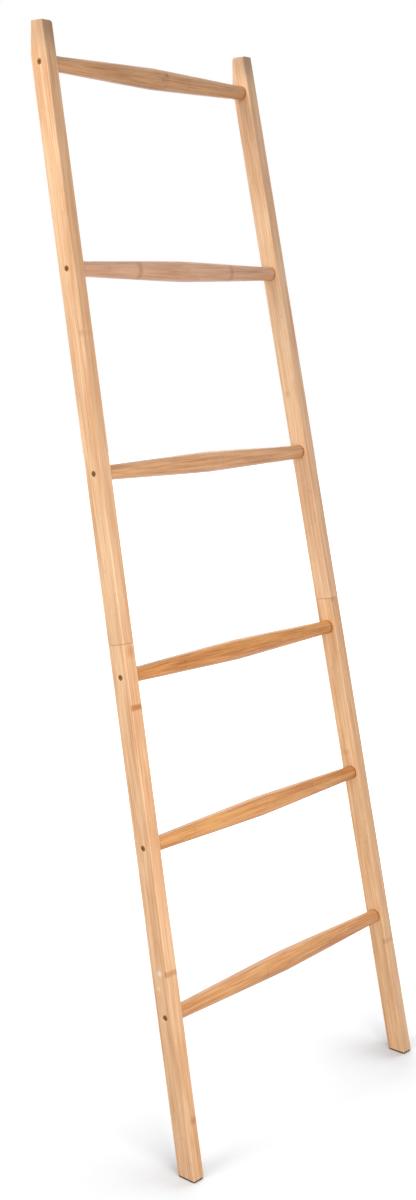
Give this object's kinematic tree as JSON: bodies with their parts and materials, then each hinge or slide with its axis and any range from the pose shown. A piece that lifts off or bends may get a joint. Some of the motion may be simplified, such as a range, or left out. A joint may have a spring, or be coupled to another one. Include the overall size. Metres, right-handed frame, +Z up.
{
  "type": "leaning blanket ladder",
  "caption": "Leaning ladder rack with two rails that draw together upwards and turned rungs between them, for hanging blankets and towels.",
  "frame": {"origin": "on the floor, under the middle of the ladder's bounding box in its leaning pose", "axes": "+Z up, +X along the rungs to the right as seen from the room, +Y towards the wall the ladder leans on"},
  "size_m": [0.6, 0.3722, 1.7657],
  "materials": {
    "bamboo_rail": "satin clear lacquer over laminated bamboo",
    "bamboo_rung": "satin clear lacquer over darker carbonised bamboo",
    "screw_steel": "bronzed steel",
    "tongue_wood": "bare planed beech",
    "pad_rubber": "matt dark brown rubber"
  },
  "bodies": {
    "root": {"left_lower_rail": "bamboo_rail", "left_upper_rail": "bamboo_rail", "left_joint_tongue": "tongue_wood", "left_foot_pad": "pad_rubber", "right_lower_rail": "bamboo_rail", "right_upper_rail": "bamboo_rail", "right_joint_tongue": "tongue_wood", "right_foot_pad": "pad_rubber", "rung_1": "bamboo_rung", "rung_1_screws": "screw_steel", "rung_2": "bamboo_rung", "rung_2_screws": "screw_steel", "rung_3": "bamboo_rung", "rung_3_screws": "screw_steel", "rung_4": "bamboo_rung", "rung_4_screws": "screw_steel", "rung_5": "bamboo_rung", "rung_5_screws": "screw_steel", "rung_6": "bamboo_rung", "rung_6_screws": "screw_steel"}
  },
  "joints": []
}
